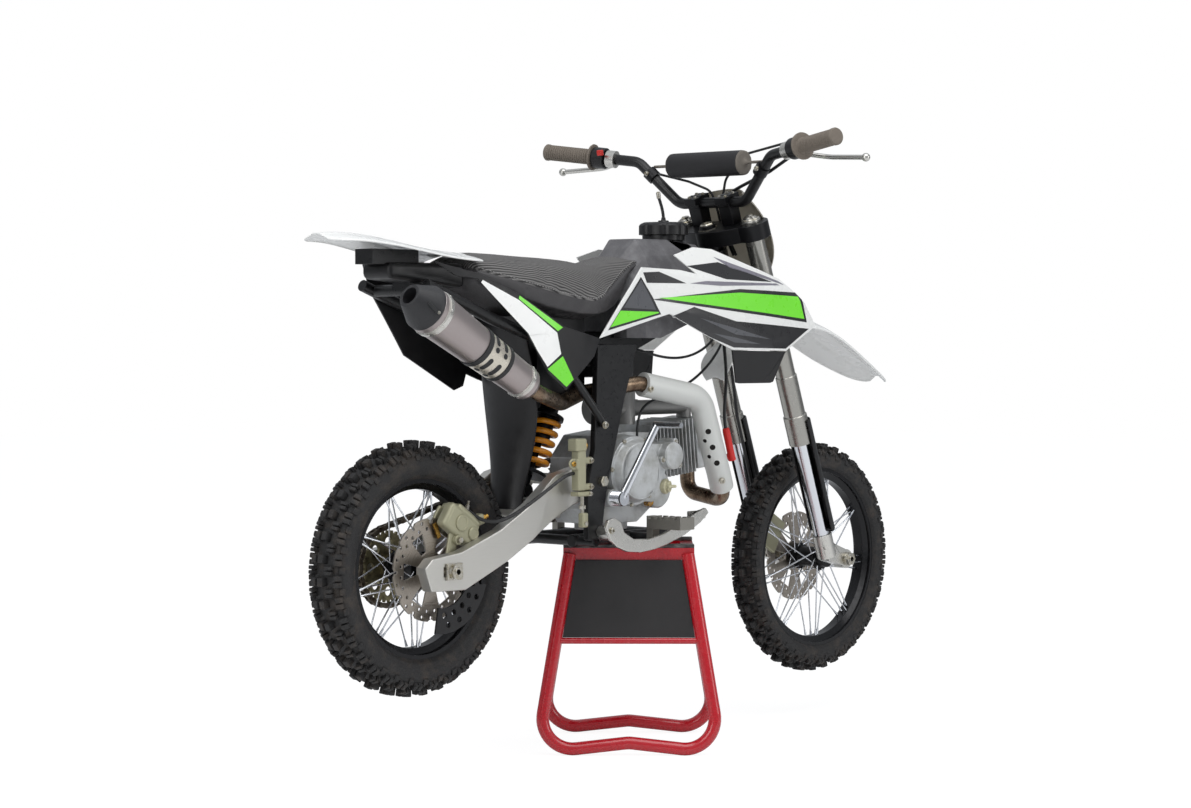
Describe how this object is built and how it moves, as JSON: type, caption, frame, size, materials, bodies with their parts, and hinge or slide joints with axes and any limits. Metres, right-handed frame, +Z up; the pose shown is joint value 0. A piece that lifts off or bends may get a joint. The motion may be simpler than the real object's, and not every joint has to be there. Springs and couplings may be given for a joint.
{
  "type": "small dirt bike on a paddock stand",
  "caption": "Small off-road dirt bike with knobbly wire wheels, open engine and turning bars, held on a red paddock stand.",
  "frame": {"origin": "on the floor, midway along and across the whole of the bike and its stand", "axes": "+X forward along the bike, +Y to the rider's left, +Z up"},
  "size_m": [1.6636, 0.8266, 1.2128],
  "materials": {
    "tyre_rubber": "matt knobbly rubber",
    "black_gloss": "gloss black paint",
    "black_metal": "satin black paint",
    "hub_black": "black anodised",
    "spoke_chrome": "polished",
    "disc_steel": "worn brushed steel",
    "sprocket_gold": "dull gold anodised",
    "chain_steel": "oiled steel",
    "bare_aluminium": "satin",
    "fork_silver": "satin anodised",
    "shock_black": "satin black",
    "spring_orange": "gloss orange paint",
    "black_plastic": "moulded black plastic",
    "seat_cover": "ribbed dark grey seat cover",
    "pad_cover": "black pad cover",
    "tank_grey": "moulded dark grey plastic",
    "white_plastic": "gloss white plastic",
    "panel_plastic": "black plastic with stripes",
    "plate_plastic": "pale plastic",
    "engine_silver": "cast satin silver",
    "carburettor_metal": "cast grey",
    "header_bronze": "heat tinted steel",
    "shield_white": "white silver paint",
    "muffler_titanium": "titanium grey",
    "muffler_black": "matt black",
    "peg_steel": "cast steel",
    "caliper_khaki": "khaki anodised",
    "grip_rubber": "grey brown rubber",
    "stand_red": "clear red paint",
    "board_black": "black board",
    "pad_rubber": "black rubber",
    "cable_black": "satin black cable and hose covers"
  },
  "bodies": {
    "root": {"rear_axle": "disc_steel", "chain": "chain_steel", "swingarm": "bare_aluminium", "shock": "shock_black", "shock_spring": "spring_orange", "mudflap": "black_plastic", "main_frame": "black_metal", "subframe": "black_metal", "fuel_tank": "tank_grey", "seat": "seat_cover", "tank_cap": "black_plastic", "shrouds": "white_plastic", "shroud_wings": "black_plastic", "side_plates": "panel_plastic", "rear_fender": "white_plastic", "crankcase": "engine_silver", "clutch_cover": "engine_silver", "cylinder": "engine_silver", "cylinder_head": "engine_silver", "carburettor": "carburettor_metal", "kick_starter": "spoke_chrome", "gear_lever": "spoke_chrome", "header_pipe": "header_bronze", "heat_shield": "shield_white", "muffler": "muffler_titanium", "muffler_tip": "muffler_black", "foot_pegs": "peg_steel", "brake_pedal": "bare_aluminium", "rear_brake": "caliper_khaki", "stand_frame": "stand_red", "stand_boards": "board_black", "stand_pads": "pad_rubber", "frame_cables": "cable_black"},
    "steering": {"front_axle": "disc_steel", "fork_tubes": "fork_silver", "fork_sliders": "spoke_chrome", "axle_lugs": "bare_aluminium", "fork_guards": "black_plastic", "triple_clamp": "black_metal", "handlebar": "black_metal", "bar_clamps": "black_metal", "bar_pad": "pad_cover", "grips": "grip_rubber", "switch_gear": "black_plastic", "levers": "bare_aluminium", "number_plate": "plate_plastic", "front_fender": "white_plastic", "front_caliper": "caliper_khaki", "steering_cables": "cable_black"},
    "rear_wheel": {"rear_tyre": "tyre_rubber", "rear_rim": "black_gloss", "rear_hub": "hub_black", "rear_spokes": "spoke_chrome", "rear_disc": "disc_steel", "rear_sprocket": "sprocket_gold"},
    "front_wheel": {"front_tyre": "tyre_rubber", "front_rim": "black_gloss", "front_hub": "hub_black", "front_spokes": "spoke_chrome", "front_disc": "disc_steel"}
  },
  "joints": [
    {"name": "steer", "type": "hinge", "parent": "root", "child": "steering", "pos_m": [0.24615, 0, 1.032], "axis": [-0.342, 0, 0.9397], "range_deg": [-38, 38]},
    {"name": "rear_spin", "type": "hinge", "parent": "root", "child": "rear_wheel", "pos_m": [-0.59585, 0, 0.383], "axis": [0, 1, 0], "continuous": true},
    {"name": "front_spin", "type": "hinge", "parent": "steering", "child": "front_wheel", "pos_m": [0.58785, 0, 0.33588], "axis": [0, 1, 0], "continuous": true}
  ]
}
